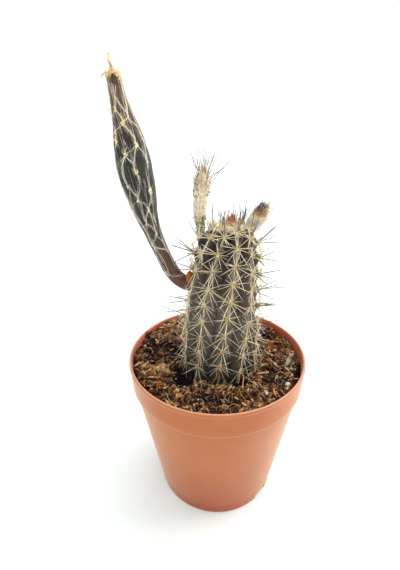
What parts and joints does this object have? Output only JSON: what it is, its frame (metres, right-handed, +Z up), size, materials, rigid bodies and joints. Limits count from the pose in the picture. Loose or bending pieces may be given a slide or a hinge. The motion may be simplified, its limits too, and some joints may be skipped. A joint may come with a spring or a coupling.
{
  "type": "potted echinopsis mirabilis cactus",
  "caption": "Small ribbed column cactus with spines, woolly buds and a long netted seed pod on a bent stalk, growing in peat in a round tapered plastic nursery pot with a collar.",
  "frame": {"origin": "centre of the pot's flat foot, where it rests", "axes": "+Z up along the pot's axis; the netted pod hangs out towards -X; -Y is the side seen in the picture"},
  "size_m": [0.055, 0.055, 0.1304],
  "materials": {
    "terracotta_plastic": "smooth, semi-matte",
    "peat_mix": "rough, crumbly",
    "cactus_skin": "fine grained, matte, with cream spines",
    "pod_skin": "satin, with a raised cream net",
    "pale_wool": "woolly",
    "grey_tan_wool": "woolly",
    "rust_spines": "bristly",
    "cork": "rough",
    "dry_leaf": "matte"
  },
  "bodies": {
    "root": {"pot": "terracotta_plastic", "soil": "peat_mix", "stem": "cactus_skin", "seed_pod": "pod_skin", "tall_bud": "pale_wool", "short_bud": "grey_tan_wool", "apex_bud": "rust_spines", "corky_knob": "cork", "dry_sliver": "dry_leaf"}
  },
  "joints": []
}
